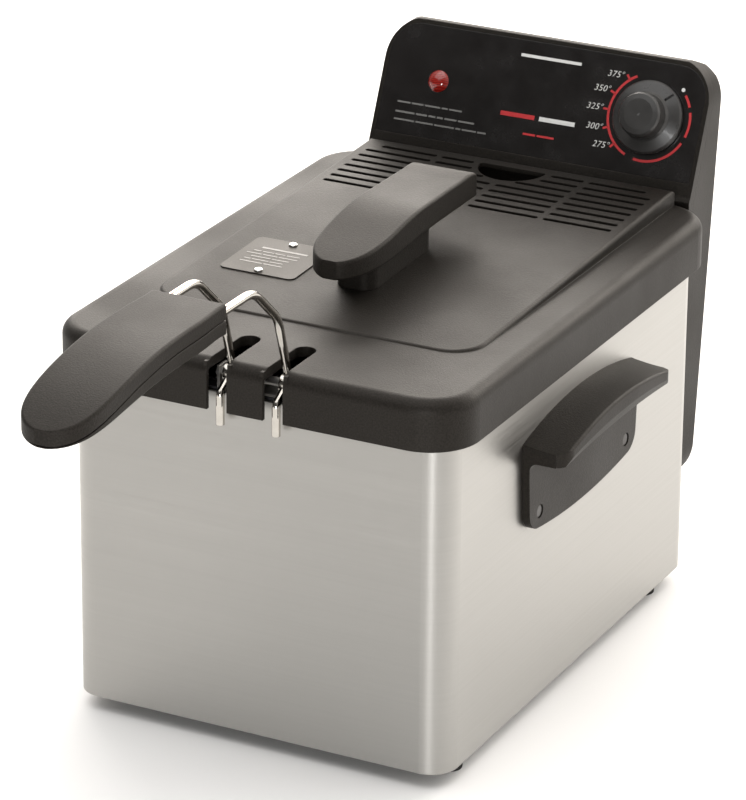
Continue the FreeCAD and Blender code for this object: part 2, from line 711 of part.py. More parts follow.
def cover_handle_screw(y):
    head = upright_pin(4.2, 0, y, LEDGE_TOP - COVER_WALL - 2.0, LEDGE_TOP - COVER_WALL)
    shank = upright_pin(1.6, 0, y, LEDGE_TOP - COVER_WALL, 247.0)
    return head.fuse(shank)


PLATE_X = -58.1
PLATE_Y = -29.7
PLATE_THICK = 0.6
RIVET_RADIUS = 2.5
RIVET_SHANK = 1.2


def rivet_places():
    return [(PLATE_X, PLATE_Y + side * 20.4) for side in SIDES]


def label_plate():
    """Blank rounded plate, laid on the slope of the raised panel."""
    block = rounded_box(46.8, 48.6, 4.0, LEDGE_TOP, 240.0, mid_y=PLATE_Y, mid_x=PLATE_X)
    plate = block.common(below_slope(-PLATE_THICK, -140.0, 200.0, 200.0)).cut(
        below_slope(0.0, -140.0, 200.0, 200.0))
    holes = [upright_pin(RIVET_SHANK, x, y, 225.0, 240.0) for x, y in rivet_places()]
    return plate.cut(holes)


def label_rivet(x, y):
    """Rivet whose head just clears the highest point of the plate under it."""
    clearance = 0.02
    top = cover_panel_height(y + RIVET_RADIUS) + PLATE_THICK + clearance
    foot = cover_panel_height(y + RIVET_SHANK) + clearance
    head = upright_pin(RIVET_RADIUS, x, y, top, top + 1.0)
    head = head.makeFillet(0.8, [e for e in head.Edges if e.BoundBox.ZMin > top + 0.9])
    return head.fuse(upright_pin(RIVET_SHANK, x, y, foot, top))


FILTER_MID_Y = 122.0
FILTER_THICK = 3.3


def filter_pad():
    """Felt filter under the vents, with a cut-out for the port."""
    roof = LEDGE_TOP - COVER_WALL
    pad = rounded_box(196.0, 74.0, 8.0, roof - FILTER_THICK, roof, mid_y=FILTER_MID_Y)
    return pad.cut(port(3.0, 210.0, 240.0))


def filter_retainer():
    """Perforated plate that holds the filter up against the cover."""
    roof = LEDGE_TOP - COVER_WALL - FILTER_THICK
    rows = 4
    row_pitch = 11.0
    column_pitch = 21.0
    plate = rounded_box(204.0, 76.0, 8.0, roof - 1.0, roof, mid_y=FILTER_MID_Y)
    cutters = [port(3.0, 210.0, 240.0)]
    for row in range(rows):
        y = FILTER_MID_Y - 30.0 + row * row_pitch
        for column in range(-4, 5):
            x = column * column_pitch
            cutters.append(rounded_box(16.0, 5.0, 2.4, 210.0, 230.0, mid_y=y, mid_x=x))
    return plate.cut(cutters)


# ---- control head -------------------------------------------------------------

HEAD_WALL = 2.5
HEAD_GAP = 1.2
HEAD_FRONT_Y = HOUSING_DEPTH / 2 + HEAD_GAP
HEAD_LIP_Y = COVER_MID_Y + COVER_DEPTH / 2 + HEAD_GAP
HEAD_LIP_Z = 198.0
PANEL_THICK = 3.0
PANEL_SPLIT_Z = 221.5
PANEL_SPLIT_DEPTH = 6.0
OVERLAY_THICK = 0.8
OVERLAY_HALF_WIDTH = 101.8
OVERLAY_LOW = 8.0
LAMP_HEIGHT = DIAL_HEIGHT + 0.5
LAMP_HOLE = 6.6
SPINDLE_HOLE = 4.5
SENSOR_X = 46.0
REAR_LEAN = 0.1087
BRIDGE_HALF = 84.0
BRIDGE_LOW = 210.4
BRIDGE_TOP = 219.6
LEG_X = 70.0
LEG_Y = 136.0
RESET_X = 50.0
RESET_Z = 180.0
INLET_X = -55.0
INLET_Z = 95.0


def panel_point(height, depth):
    """(y, z) at a height up the sloping panel and a depth behind its face."""
    y = PANEL_FOOT_Y + height * math.sin(HEAD_TILT) + depth * math.cos(HEAD_TILT)
    z = PANEL_FOOT_Z + height * math.cos(HEAD_TILT) - depth * math.sin(HEAD_TILT)
    return y, z


def rear_face_y(z):
    return 190.0 + (z - 60.0) * REAR_LEAN


def in_panel(x, height, depth):
    y, z = panel_point(height, depth)
    return Vector(x, y, z)


PANEL_OUT = Vector(0, -math.cos(HEAD_TILT), math.sin(HEAD_TILT))


def panel_pin(radius, x, height, depth0, depth1):
    """A round pin square to the panel, between two depths behind its face."""
    return Part.makeCylinder(radius, depth1 - depth0, in_panel(x, height, depth0), PANEL_OUT * -1)


def panel_block(x0, x1, h0, h1, d0, d1):
    """A block that lies along the sloping panel."""
    outline = [panel_point(h0, d0), panel_point(h1, d0), panel_point(h1, d1), panel_point(h0, d1)]
    block = slab_yz(outline, (x1 - x0) / 2)
    block.translate(Vector((x0 + x1) / 2, 0, 0))
    return block


def head_outline(inset):
    """The head's front outline pushed right through along Y."""
    half = HEAD_WIDTH / 2 - inset
    low = HEAD_BOTTOM + inset
    high = HEAD_TOP + 1 - inset
    block = box(-half, half, 120.0, 260.0, low, high)
    along = [e for e in block.Edges if abs(e.tangentAt(e.FirstParameter).y) > 0.99]
    block = block.makeFillet(HEAD_CORNER - inset, [e for e in along if e.CenterOfMass.z > 200])
    low_edges = [
        e for e in block.Edges
        if abs(e.tangentAt(e.FirstParameter).y) > 0.99 and e.CenterOfMass.z < low + 1
    ]
    return block.makeFillet(HEAD_LOW_CORNER - inset, low_edges)


def head_block():
    """Outside of the whole control head before it is hollowed."""
    top_y, top_z = panel_point(PANEL_HEIGHT, 0.0)
    side = [
        (HEAD_FRONT_Y, HEAD_BOTTOM), (176.0, HEAD_BOTTOM), (184.0, 48.0), (188.6, 53.0),
        (rear_face_y(62.0), 62.0), (rear_face_y(292.0), 292.0), (rear_face_y(297.0) - 2.0, 298.6),
        (208.5, HEAD_TOP), (top_y + 1.0, HEAD_TOP), (top_y, top_z),
        (PANEL_FOOT_Y, PANEL_FOOT_Z), (HEAD_LIP_Y, LEDGE_TOP - 0.4), (HEAD_LIP_Y, HEAD_LIP_Z),
        (HEAD_FRONT_Y, HEAD_LIP_Z),
    ]
    return slab_yz(side, 130.0).common(head_outline(0.0))


def head_room():
    """Hollow inside the control head, open towards the housing."""
    lip_y = HEAD_LIP_Y + HEAD_WALL
    lip_z = HEAD_LIP_Z + HEAD_WALL
    inner_foot = panel_point(0.0, PANEL_THICK)
    inner_top = panel_point(PANEL_HEIGHT - 3.0, PANEL_THICK)
    side = [
        (150.0, HEAD_BOTTOM + HEAD_WALL), (175.0, HEAD_BOTTOM + HEAD_WALL), (183.0, 51.0),
        (rear_face_y(62.0) - HEAD_WALL, 62.0), (rear_face_y(292.0) - HEAD_WALL, 292.0),
        (rear_face_y(296.0) - 6.0, 296.5), inner_top, inner_foot, (lip_y, 226.0),
        (lip_y, lip_z), (150.0, lip_z),
    ]
    return slab_yz(side, 130.0).common(head_outline(HEAD_WALL))


def panel_holes():
    """Holes for the dial's spindle and the lamp, through panel and face plate alike."""
    return [
        panel_pin(SPINDLE_HOLE, KNOB_X, DIAL_HEIGHT, -5, 10),
        panel_pin(LAMP_HOLE, LAMP_X, LAMP_HEIGHT, -5, 10),
    ]


def rear_grilles():
    """Four level slits that cool the electrics, high in the rear face."""
    rows = 4
    pitch = 7.0
    slit = 3.0
    first_z = 240.0
    cutters = []
    for row in range(rows):
        z = first_z + row * pitch
        cutters.append(rounded_box(60.0, 40.0, 1.2, z, z + slit, mid_y=215.0))
    return cutters


def head_shells():
    """The rear shell and the front panel, parted on a plane behind the panel face."""
    shell = head_block().cut(head_room())
    bridge_hole = box(-BRIDGE_HALF, BRIDGE_HALF, 150.0, 176.0, BRIDGE_LOW, BRIDGE_TOP)
    shell = shell.cut(bridge_hole)
    front_zone = panel_block(-130, 130, -60.0, 120.0, -30.0, PANEL_SPLIT_DEPTH)
    front_zone = front_zone.cut(box(-130, 130, 100, 260, 0, PANEL_SPLIT_Z))
    front = shell.common(front_zone).cut([overlay_blank()] + panel_holes())
    slots = [
        box(side * GUIDE_X - 6.5, side * GUIDE_X + 6.5, 150.0, 168.5, 40.0, 60.0) for side in SIDES
    ]
    reset_hole = Part.makeCylinder(5.3, 60, Vector(RESET_X, 180, RESET_Z), Y_AXIS)
    inlet_hole = inlet_block(180.0, 230.0)
    back_holes = [Part.makeCylinder(1.5, 40, Vector(x, 180, z), Y_AXIS) for x, z in head_screw_places()]
    rear = shell.cut(front_zone)
    rear = rear.cut(slots + [reset_hole, inlet_hole] + rear_grilles() + back_holes)
    return front, rear


def head_screw_places():
    return [(-88.0, 215.0), (88.0, 215.0), (-88.0, 140.0), (88.0, 140.0)]


def head_screw(x, z):
    """Rear screw with a domed head that stands on the sloping rear face."""
    face_y = rear_face_y(z)
    shank = Part.makeCylinder(1.5, 8.0, Vector(x, face_y - 8.0, z), Y_AXIS)
    head = Part.makeCylinder(3.2, 1.8, Vector(x, face_y + 0.35, z), Y_AXIS)
    neck = Part.makeCylinder(1.5, 0.5, Vector(x, face_y - 0.1, z), Y_AXIS)
    return head.fuse([neck, shank])


def overlay_blank():
    """Face plate before its holes, sunk into the front panel."""
    high = PANEL_HEIGHT - 2.4
    block = panel_block(-OVERLAY_HALF_WIDTH, OVERLAY_HALF_WIDTH, OVERLAY_LOW, high, 0.0, OVERLAY_THICK)
    across = [
        e for e in block.Edges
        if abs(e.tangentAt(e.FirstParameter).dot(PANEL_OUT)) > 0.99 and e.CenterOfMass.z > 280
    ]
    return block.makeFillet(18.5, across)


def overlay():
    return overlay_blank().cut(panel_holes())


def inner_plate():
    """Sheet that closes the head on the side facing the housing."""
    sheet = 1.2
    plate = box(-130, 130, HEAD_FRONT_Y, HEAD_FRONT_Y + sheet, HEAD_BOTTOM + HEAD_WALL, HEAD_LIP_Z)
    plate = plate.common(head_outline(HEAD_WALL))
    slots = [
        box(side * GUIDE_X - 6.5, side * GUIDE_X + 6.5, 150.0, 170.0, 30.0, GUIDE_TOP + 2.0)
        for side in SIDES
    ]
    switch_hole = box(-4, 4, 150, 170, 146, 154)
    return plate.cut(slots + [switch_hole])


def bridge():
    """Sheet duct that carries the element and the sensor over the rim."""
    sheet = 1.0
    duct = box(-BRIDGE_HALF, BRIDGE_HALF, 126.0, 178.0, BRIDGE_LOW, BRIDGE_TOP)
    room = box(
        -BRIDGE_HALF + sheet, BRIDGE_HALF - sheet, 126.0 + sheet, 190.0,
        BRIDGE_LOW + sheet, BRIDGE_TOP - sheet)
    holes = [upright_pin(ELEMENT_RADIUS, side * LEG_X, LEG_Y, 205, 215) for side in SIDES]
    sensor_hole = upright_pin(1.3, SENSOR_X, LEG_Y, 205, 215)
    return duct.cut([room, sensor_hole] + holes)


def heating_element():
    """Tubular element: two legs and a flat three-lobed loop near the pot floor."""
    front = -120.0
    return_y = 96.0
    lane = 24.0
    points = [Vector(-LEG_X, LEG_Y, 216.0), Vector(-LEG_X, LEG_Y, ELEMENT_Z),
              Vector(-LEG_X, front, ELEMENT_Z), Vector(-lane, front, ELEMENT_Z),
              Vector(-lane, return_y, ELEMENT_Z)]
    points += [Vector(-p.x, p.y, p.z) for p in reversed(points)]
    return bent_rod(points, ELEMENT_RADIUS, 22.0)


def element_strap(y):
    """Flat strip under the element with a saddle over each run."""
    top = ELEMENT_Z - ELEMENT_RADIUS
    strip = box(-82.0, 82.0, y - 6, y + 6, top - 1.5, top)
    for x in (-LEG_X, -24.0, 24.0, LEG_X):
        outer = Part.makeCylinder(ELEMENT_RADIUS + 1.0, 12.0, Vector(x, y - 6, ELEMENT_Z), Y_AXIS)
        cheeks = box(x - ELEMENT_RADIUS - 1, x + ELEMENT_RADIUS + 1, y - 6, y + 6, top, ELEMENT_Z)
        strip = strip.fuse([outer, cheeks])
    rods = [
        Part.makeCylinder(ELEMENT_RADIUS, 40.0, Vector(x, y - 20, ELEMENT_Z), Y_AXIS)
        for x in (-LEG_X, -24.0, 24.0, LEG_X)
    ]
    return strip.cut(rods).removeSplitter()


def thermostat_sensor():
    """Sensor bulb above the element, with its capillary up to the thermostat."""
    bulb_z = 62.0
    bulb = Part.makeCylinder(3.0, 90.0, Vector(SENSOR_X, 30.0, bulb_z), Y_AXIS)
    tube = bent_rod(
        [Vector(SENSOR_X, 118.0, bulb_z), Vector(SENSOR_X, LEG_Y, bulb_z), Vector(SENSOR_X, LEG_Y, 215.0),
         Vector(SENSOR_X, 184.0, 215.0), Vector(SENSOR_X, 184.0, 232.0)],
        1.0, 5.0)
    return bulb.fuse(tube)


def thermostat_body():
    """Thermostat behind the dial, with a bush for the spindle."""
    case = panel_block(KNOB_X - 24, KNOB_X + 20, DIAL_HEIGHT - 22, DIAL_HEIGHT + 11, 5.0, 17.0)
    bush = panel_pin(4.2, KNOB_X, DIAL_HEIGHT, 0.2, 5.0)
    bore = panel_pin(3.0 + RUNNING_GAP, KNOB_X, DIAL_HEIGHT, -1, 14)
    return case.fuse(bush).cut(bore)


def lamp_lens():
    """Domed red lens that snaps into the front panel."""
    radius = 6.5
    dome_radius = 9.0
    stem = panel_pin(radius, LAMP_X, LAMP_HEIGHT, 0.0, 5.0)
    sag = dome_radius - math.sqrt(dome_radius ** 2 - radius ** 2)
    dome = Part.makeSphere(dome_radius, in_panel(LAMP_X, LAMP_HEIGHT, dome_radius - sag))
    cap = dome.common(panel_pin(radius, LAMP_X, LAMP_HEIGHT, -sag - 0.5, 0.0))
    flange = panel_pin(8.2, LAMP_X, LAMP_HEIGHT, PANEL_THICK, PANEL_THICK + 1.2)
    return stem.fuse([cap, flange]).removeSplitter()


def lamp_body():
    """Neon lamp with its collar, behind the lens."""
    bulb = panel_pin(4.5, LAMP_X, LAMP_HEIGHT, 5.0, 15.0)
    collar = panel_pin(6.0, LAMP_X, LAMP_HEIGHT, 5.0, 7.0)
    return bulb.fuse(collar)


def dial_knob():
    """Turned knob: a dished skirt with a pointer groove and a round grip."""
    profile = [
        (0.0, 1.0), (21.6, 1.0), (21.6, 3.2), (20.6, 4.4), (14.6, 6.4), (13.3, 8.0),
        (12.9, 15.6), (11.9, 17.0), (9.0, 17.5), (0.0, 17.6),
    ]
    points = [Vector(r, 0, h) for r, h in profile]
    knob = Part.Face(Part.makePolygon(points + points[:1])).revolve(Vector(0, 0, 0), Z_AXIS, 360)
    groove = box(14.9, 23.0, -0.7, 0.7, 4.0, 9.0)
    bore = upright_pin(3.0, 0, 0, -2.0, 12.0)
    knob = knob.cut([groove, bore])
    knob.rotate(Vector(0, 0, 0), Z_AXIS, 47.0)
    return set_on_panel(knob)


def set_on_panel(shape):
    """Turn a shape built about +Z so that it stands out of the panel at the dial."""
    shape.rotate(Vector(0, 0, 0), X_AXIS, 90.0 - math.degrees(HEAD_TILT))
    shape.translate(in_panel(KNOB_X, DIAL_HEIGHT, 0.0))
    return shape


def spindle():
    return set_on_panel(upright_pin(3.0, 0, 0, -12.0, 12.0))


def thermal_cutout():
    """Overheat cut-out on the rear shell, with the socket for its reset button."""
    case = box(RESET_X - 14, RESET_X + 14, 174.0, 188.0, RESET_Z - 12, RESET_Z + 12)
    collar = Part.makeCylinder(8.0, 8.0, Vector(RESET_X, 188.0, RESET_Z), Y_AXIS)
    bore = Part.makeCylinder(5.3, 14.0, Vector(RESET_X, 186.0, RESET_Z), Y_AXIS)
    return case.fuse(collar).cut(bore)


def reset_button():
    """Push button that stands 3 mm proud of the rear face."""
    tip_y = rear_face_y(RESET_Z) + 3.0
    stem = Part.makeCylinder(5.0, tip_y - 189.0, Vector(RESET_X, 189.0, RESET_Z), Y_AXIS)
    return stem.makeFillet(1.0, [e for e in stem.Edges if e.BoundBox.YMin > tip_y - 0.01])


def inlet_block(y0, y1):
    return box(INLET_X - 17, INLET_X + 17, y0, y1, INLET_Z - 11, INLET_Z + 11)


def power_inlet():
    """Recessed two-pin inlet block in the rear shell."""
    back = rear_face_y(INLET_Z)
    block = inlet_block(178.0, back + 0.4)
    sink = box(INLET_X - 13, INLET_X + 13, back - 9.0, back + 5, INLET_Z - 7, INLET_Z + 7)
    pins = [
        Part.makeCylinder(2.0, 12.0, Vector(INLET_X + side * 6.5, back - 12.0, INLET_Z), Y_AXIS)
        for side in SIDES
    ]
    return block.cut([sink] + pins), pins


def safety_switch():
    """Interlock switch that reaches through the inner plate to the housing."""
    case = box(-10, 10, 164.6, 174.0, 144, 156)
    plunger = box(-3, 3, 162.5, 164.6, 148, 152)
    return case.fuse(plunger)


def terminal_block():
    block = box(-40, 0, 179, 192, 206, 222)
    screws = [Part.makeCylinder(2.0, 20, Vector(-34 + 9 * i, 185.5, 214), Z_AXIS) for i in range(4)]
    return block.cut(screws)


# ---- whole fryer --------------------------------------------------------------

def build():
    """All pieces by node name; a list is one node made of several equal solids."""
    wires = [handle_wire(side) for side in SIDES]
    grip_holes = [grip_screw_hole(y) for y in GRIP_SCREW_Y]
    upper, lower = grip_halves(grip_body().cut(grip_holes), wires)
    front_panel, rear_shell = head_shells()
    inlet, inlet_pins = power_inlet()
    right_handle = side_handle()
    nodes = {
        "housing_shell": housing_shell(),
        "housing_base_plate": base_plate(),
        "foot_screws": [foot_screw(x, y) for x, y in foot_places().values()],
        "side_handle_right": right_handle,
        "side_handle_left": mirrored(right_handle),
        "side_handle_screws": [side_screw(side, y) for side in SIDES for y in side_screw_places()],
        "control_guides": [control_guide(side) for side in SIDES],
        "oil_pot": oil_pot(),
        "basket_mesh": basket_mesh(),
        "basket_rim_rod": rod_loop(
            BASKET_WIDTH, BASKET_DEPTH, BASKET_CORNER + RIM_ROD, RIM_ROD, BASKET_TOP, BASKET_MID_Y),
        "basket_cradle_rods": basket_cradle(),
        "basket_bracket": basket_bracket(),
        "basket_pivot_rod": pivot_rod(),
        "handle_wire_left": wires[0],
        "handle_wire_right": wires[1],
        "handle_grip_upper": upper,
        "handle_grip_lower": lower,
        "handle_grip_screws": [grip_screw(y) for y in GRIP_SCREW_Y],
        "cover_shell": cover_shell(),
        "cover_handle": cover_handle(),
        "cover_handle_screws": [cover_handle_screw(y) for y in COVER_HANDLE_SCREW_Y],
        "cover_plate": label_plate(),
        "cover_plate_rivets": [label_rivet(x, y) for x, y in rivet_places()],
        "cover_filter": filter_pad(),
        "filter_retainer": filter_retainer(),
        "control_front_panel": front_panel,
        "control_rear_shell": rear_shell,
        "control_face_plate": overlay(),
        "control_inner_plate": inner_plate(),
        "control_screws": [head_screw(x, z) for x, z in head_screw_places()],
        "element_bridge": bridge(),
        "heating_element": heating_element(),
        "element_straps": [element_strap(y) for y in (-70.0, 60.0)],
        "thermostat_body": thermostat_body(),
        "thermostat_sensor": thermostat_sensor(),
        "thermal_cutout": thermal_cutout(),
        "safety_switch": safety_switch(),
        "terminal_block": terminal_block(),
        "indicator_lens": lamp_lens(),
        "indicator_lamp": lamp_body(),
        "power_inlet": inlet,
        "inlet_pins": inlet_pins,
        "dial_knob": dial_knob(),
        "dial_spindle": spindle(),
        "reset_button": reset_button(),
    }
    for name, (x, y) in foot_places().items():
        nodes["foot_" + name] = foot(x, y)
    return nodes


def save(nodes):
    """Centre the whole fryer over the origin along Y and write one STEP per node."""
    shapes = {}
    for name, piece in nodes.items():
        shapes[name] = Part.makeCompound(piece) if isinstance(piece, list) else piece
    low = min(s.BoundBox.YMin for s in shapes.values())
    high = max(s.BoundBox.YMax for s in shapes.values())
    shift = -(low + high) / 2
    os.makedirs("parts", exist_ok=True)
    for name, shape in shapes.items():
        shape.translate(Vector(0, shift, 0))
        shape.exportStep("parts/" + name + ".step")
    print("shift along Y:", round(shift, 4))


save(build())
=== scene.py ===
import json
import math

import bpy
from mathutils import Matrix, Vector

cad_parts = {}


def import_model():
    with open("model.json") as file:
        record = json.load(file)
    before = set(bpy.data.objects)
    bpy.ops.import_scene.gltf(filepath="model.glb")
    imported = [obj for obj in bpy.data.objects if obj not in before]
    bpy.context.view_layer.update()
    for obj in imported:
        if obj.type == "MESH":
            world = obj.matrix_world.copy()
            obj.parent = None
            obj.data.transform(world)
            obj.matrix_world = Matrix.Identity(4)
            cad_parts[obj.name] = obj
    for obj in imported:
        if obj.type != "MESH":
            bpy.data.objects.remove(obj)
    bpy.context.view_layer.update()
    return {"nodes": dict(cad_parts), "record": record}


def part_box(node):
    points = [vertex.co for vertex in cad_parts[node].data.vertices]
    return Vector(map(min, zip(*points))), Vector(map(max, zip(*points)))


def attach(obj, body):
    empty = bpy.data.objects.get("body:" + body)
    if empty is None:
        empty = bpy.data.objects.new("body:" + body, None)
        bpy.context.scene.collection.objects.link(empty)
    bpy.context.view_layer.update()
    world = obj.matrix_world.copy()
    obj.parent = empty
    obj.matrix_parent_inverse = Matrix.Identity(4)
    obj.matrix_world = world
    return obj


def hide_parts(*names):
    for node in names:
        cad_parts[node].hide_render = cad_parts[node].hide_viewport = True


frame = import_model()
nodes = frame["nodes"]

MM = 0.001


# ---- places read from the frame ------------------------------------------------

def middle(node):
    low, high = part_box(node)
    return (low + high) / 2


HOUSING_MID = middle("housing_shell")

# The control head's face leans back by TILT; these three vectors are its own axes.
TILT = math.radians(24.0)
ACROSS = Vector((1, 0, 0))
UP_SLOPE = Vector((0, math.sin(TILT), math.cos(TILT)))
OUT = Vector((0, -math.cos(TILT), math.sin(TILT)))


# ---- node helpers --------------------------------------------------------------

class Nodes:
    """A small wrapper that builds a material's node tree."""

    def __init__(self, name):
        self.material = bpy.data.materials.new(name)
        self.material.use_nodes = True
        self.tree = self.material.node_tree
        self.tree.nodes.clear()
        self.output = self.add("ShaderNodeOutputMaterial")
        self.shader = self.add("ShaderNodeBsdfPrincipled")
        self.link(self.shader, "BSDF", self.output, "Surface")
        self.coordinates = self.add("ShaderNodeTexCoord")

    def add(self, kind, **settings):
        node = self.tree.nodes.new(kind)
        for key, value in settings.items():
            setattr(node, key, value)
        return node

    def link(self, a, a_name, b, b_name):
        self.tree.links.new(a.outputs[a_name], b.inputs[b_name])

    def set(self, **values):
        for key, value in values.items():
            self.shader.inputs[key.replace("_", " ")].default_value = value

    def mapped(self, scale):
        """Object coordinates stretched by a scale along each axis."""
        mapping = self.add("ShaderNodeMapping")
        mapping.inputs["Scale"].default_value = scale
        self.link(self.coordinates, "Object", mapping, "Vector")
        return mapping

    def noise(self, scale, detail=3.0, rough=0.55, stretch=None):
        node = self.add("ShaderNodeTexNoise")
        node.inputs["Scale"].default_value = scale
        node.inputs["Detail"].default_value = detail
        node.inputs["Roughness"].default_value = rough
        if stretch:
            self.link(self.mapped(stretch), "Vector", node, "Vector")
        else:
            self.link(self.coordinates, "Object", node, "Vector")
        return node

    def ramp(self, source, output, low, high, start=0.3, end=0.7):
        """Turns a 0 to 1 value into a blend of two colours."""
        ramp = self.add("ShaderNodeValToRGB")
        ramp.color_ramp.elements[0].position = start
        ramp.color_ramp.elements[0].color = tuple(low) + (1,)
        ramp.color_ramp.elements[1].position = end
        ramp.color_ramp.elements[1].color = tuple(high) + (1,)
        self.link(source, output, ramp, "Fac")
        return ramp

    def span(self, source, output, low, high, start=0.3, end=0.7):
        """Turns a 0 to 1 value into a plain number between low and high."""
        node = self.add("ShaderNodeMapRange")
        node.inputs["From Min"].default_value = start
        node.inputs["From Max"].default_value = end
        node.inputs["To Min"].default_value = low
        node.inputs["To Max"].default_value = high
        self.link(source, output, node, "Value")
        return node

    def bump(self, source, output, strength, distance, before=None):
        node = self.add("ShaderNodeBump")
        node.inputs["Strength"].default_value = strength
        node.inputs["Distance"].default_value = distance
        self.link(source, output, node, "Height")
        if before is not None:
            self.link(before, "Normal", node, "Normal")
        return node

    def soft_edges(self, radius):
        node = self.add("ShaderNodeBevel", samples=4)
        node.inputs["Radius"].default_value = radius
        return node


def shade(colour, factor):
    return tuple(c * factor for c in colour)


# ---- materials -----------------------------------------------------------------

def brushed_steel(name, colour, roughness=0.34, stretch=(5.0, 5.0, 1500.0), edge=0.0006):
    """Sheet steel with fine horizontal brush lines and faint longer bands."""
    n = Nodes(name)
    fine = n.noise(1.0, 4.0, 0.6, stretch)
    broad = n.noise(1.0, 3.0, 0.5, tuple(s * (0.35 if s > 100 else 0.5) for s in stretch))
    cloud = n.noise(9.0, 2.0, 0.5)
    tint = n.ramp(fine, "Fac", shade(colour, 0.93), shade(colour, 1.05), 0.25, 0.75)
    wide = n.ramp(broad, "Fac", shade(colour, 0.975), shade(colour, 1.02), 0.3, 0.7)
    mix = n.add("ShaderNodeMix", data_type="RGBA")
    mix.inputs["Factor"].default_value = 0.5
    n.tree.links.new(tint.outputs["Color"], mix.inputs[6])
    n.tree.links.new(wide.outputs["Color"], mix.inputs[7])
    n.tree.links.new(mix.outputs[2], n.shader.inputs["Base Color"])
    rough = n.span(fine, "Fac", roughness - 0.06, roughness + 0.08)
    blend = n.add("ShaderNodeMath", operation="MULTIPLY_ADD")
    n.tree.links.new(cloud.outputs["Fac"], blend.inputs[0])
    blend.inputs[1].default_value = 0.06
    n.tree.links.new(rough.outputs["Result"], blend.inputs[2])
    n.tree.links.new(blend.outputs["Value"], n.shader.inputs["Roughness"])
    edges = n.soft_edges(edge)
    lines = n.bump(fine, "Fac", 0.05, 0.0004, edges)
    n.link(lines, "Normal", n.shader, "Normal")
    grain_way = n.add("ShaderNodeTangent", direction_type="RADIAL", axis="Z")
    n.link(grain_way, "Tangent", n.shader, "Tangent")
    n.set(Metallic=1.0, Anisotropic=0.55, Anisotropic_Rotation=0.25)
    return n.material


def textured_plastic(name, colour, roughness=0.5, grain=1050.0, depth=0.00022, edge=0.0008):
    """Moulded plastic with a fine leathery spark texture."""
    n = Nodes(name)
    pebble = n.noise(grain, 2.0, 0.6)
    patch = n.noise(14.0, 3.0, 0.5)
    speck = n.ramp(pebble, "Fac", shade(colour, 0.5), shade(colour, 1.7), 0.36, 0.64)
    worn = n.ramp(patch, "Fac", shade(colour, 0.94), shade(colour, 1.07), 0.3, 0.7)
    mix = n.add("ShaderNodeMix", data_type="RGBA")
    mix.inputs["Factor"].default_value = 0.3
    n.tree.links.new(speck.outputs["Color"], mix.inputs[6])
    n.tree.links.new(worn.outputs["Color"], mix.inputs[7])
    n.tree.links.new(mix.outputs[2], n.shader.inputs["Base Color"])
    rough = n.span(patch, "Fac", roughness - 0.05, roughness + 0.07)
    n.link(rough, "Result", n.shader, "Roughness")
    edges = n.soft_edges(edge)
    grainy = n.bump(pebble, "Fac", 0.6, depth, edges)
    n.link(grainy, "Normal", n.shader, "Normal")
    n.set(Specular_IOR_Level=0.22, Specular_Tint=(1.0, 0.93, 0.86, 1.0))
    return n.material


def gloss_plastic(name, colour, roughness=0.16, coat=0.3, edge=0.0005):
    """Smooth plastic with faint haze and fingerprints in its gloss."""
    n = Nodes(name)
    haze = n.noise(60.0, 4.0, 0.6)
    dust = n.noise(900.0, 2.0, 0.5)
    tint = n.ramp(haze, "Fac", shade(colour, 0.9), shade(colour, 1.12), 0.3, 0.7)
    n.link(tint, "Color", n.shader, "Base Color")
    rough = n.span(haze, "Fac", roughness * 0.75, roughness * 1.35)
    n.link(rough, "Result", n.shader, "Roughness")
    edges = n.soft_edges(edge)
    fine = n.bump(dust, "Fac", 0.05, 0.00005, edges)
    n.link(fine, "Normal", n.shader, "Normal")
    n.set(Coat_Weight=coat, Coat_Roughness=0.06)
    return n.material


def polished_metal(name, colour, roughness=0.1, edge=0.0003):
    """Plated wire or turned metal with a slightly uneven polish."""
    n = Nodes(name)
    uneven = n.noise(240.0, 3.0, 0.5)
    tint = n.ramp(uneven, "Fac", shade(colour, 0.92), shade(colour, 1.04), 0.3, 0.7)
    n.link(tint, "Color", n.shader, "Base Color")
    rough = n.span(uneven, "Fac", roughness * 0.7, roughness * 1.5)
    n.link(rough, "Result", n.shader, "Roughness")
    edges = n.soft_edges(edge)
    ripple = n.bump(uneven, "Fac", 0.06, 0.0002, edges)
    n.link(ripple, "Normal", n.shader, "Normal")
    n.set(Metallic=1.0)
    return n.material


def coated_pot(name):
    """Dark non-stick coating with tiny light flecks."""
    n = Nodes(name)
    fleck = n.add("ShaderNodeTexVoronoi")
    fleck.inputs["Scale"].default_value = 700.0
    n.link(n.coordinates, "Object", fleck, "Vector")
    colour = n.ramp(fleck, "Distance", (0.16, 0.16, 0.165), (0.028, 0.028, 0.03), 0.08, 0.22)
    n.link(colour, "Color", n.shader, "Base Color")
    cloud = n.noise(40.0, 3.0, 0.5)
    rough = n.span(cloud, "Fac", 0.24, 0.4)
    n.link(rough, "Result", n.shader, "Roughness")
    orange = n.noise(500.0, 2.0, 0.5)
    skin = n.bump(orange, "Fac", 0.2, 0.0002, n.soft_edges(0.0008))
    n.link(skin, "Normal", n.shader, "Normal")
    n.set(Coat_Weight=0.25, Coat_Roughness=0.15)
    return n.material


def felt(name, colour):
    """Matted fibres of the filter pad."""
    n = Nodes(name)
    fibres = n.noise(900.0, 5.0, 0.7, (1.0, 2.6, 1.0))
    tint = n.ramp(fibres, "Fac", shade(colour, 0.6), shade(colour, 1.25), 0.3, 0.7)
    n.link(tint, "Color", n.shader, "Base Color")
    fuzz = n.bump(fibres, "Fac", 0.8, 0.0006)
    n.link(fuzz, "Normal", n.shader, "Normal")
    n.set(Roughness=0.95, Sheen_Weight=0.4)
    return n.material


